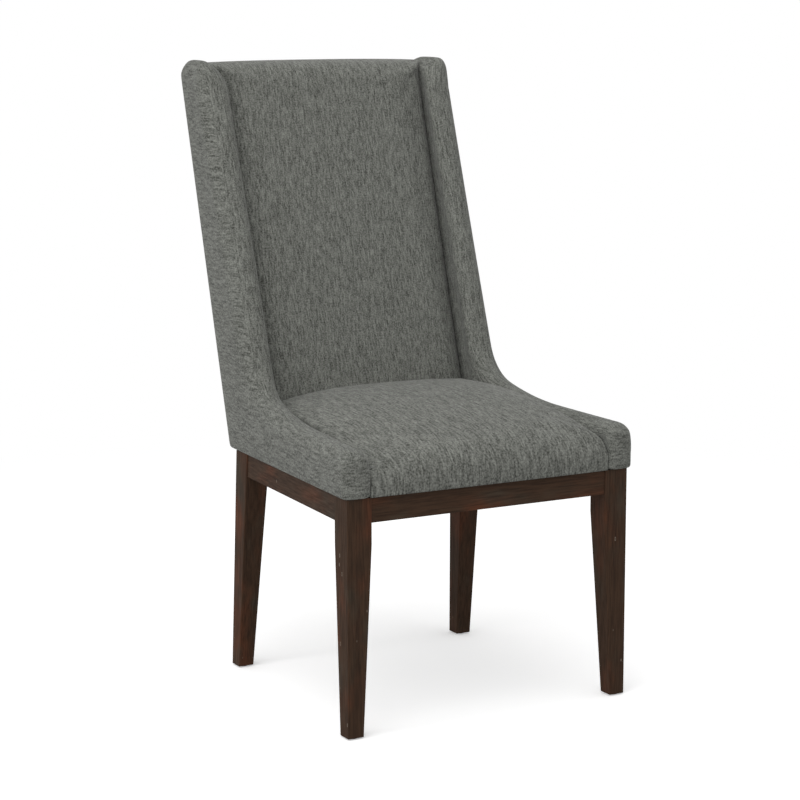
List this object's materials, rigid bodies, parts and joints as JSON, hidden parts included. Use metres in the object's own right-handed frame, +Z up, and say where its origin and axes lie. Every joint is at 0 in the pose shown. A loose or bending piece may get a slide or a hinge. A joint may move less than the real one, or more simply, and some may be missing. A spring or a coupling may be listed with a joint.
{
  "type": "upholstered dining chair",
  "caption": "Upholstered dining chair with a raked back, side wings that scoop down into low arms, a crowned seat and a dark wooden base with tapered legs.",
  "frame": {"origin": "on the floor, below the centre of the chair's box", "axes": "+Z up, -Y toward the front of the seat, +X to the right seen from the front"},
  "size_m": [0.5538, 0.6886, 1.0821],
  "materials": {
    "dark_wood": "satin",
    "frame_wood": "matte",
    "cover_fabric": "matte",
    "foam": "matte",
    "webbing": "matte",
    "felt": "matte",
    "dust_cloth": "matte",
    "steel": "satin",
    "glide": "matte"
  },
  "bodies": {
    "root": {"apron_front": "dark_wood", "apron_left": "dark_wood", "apron_rear": "dark_wood", "apron_right": "dark_wood", "back_foam": "foam", "back_lower_rail": "frame_wood", "back_middle_rail": "frame_wood", "back_post_left": "frame_wood", "back_post_right": "frame_wood", "back_rail_dowels": "frame_wood", "back_top_rail": "frame_wood", "back_webbing": "webbing", "base_bolts": "steel", "base_washers": "steel", "corner_block_screws": "steel", "corner_blocks": "frame_wood", "dust_cover": "dust_cloth", "inside_back_cover": "cover_fabric", "leg_front_left": "dark_wood", "leg_front_right": "dark_wood", "leg_glides": "glide", "leg_rear_left": "dark_wood", "leg_rear_right": "dark_wood", "outside_back_panel": "cover_fabric", "seat_cover": "cover_fabric", "seat_felt": "felt", "seat_foam": "foam", "seat_rail_dowels": "frame_wood", "seat_rail_front": "frame_wood", "seat_rail_left": "frame_wood", "seat_rail_rear": "frame_wood", "seat_rail_right": "frame_wood", "seat_webbing": "webbing", "wing_cover_left": "cover_fabric", "wing_cover_right": "cover_fabric", "wing_padding_left": "foam", "wing_padding_right": "foam", "wing_panel_left": "frame_wood", "wing_panel_right": "frame_wood", "wing_panel_screws": "steel"}
  },
  "joints": []
}
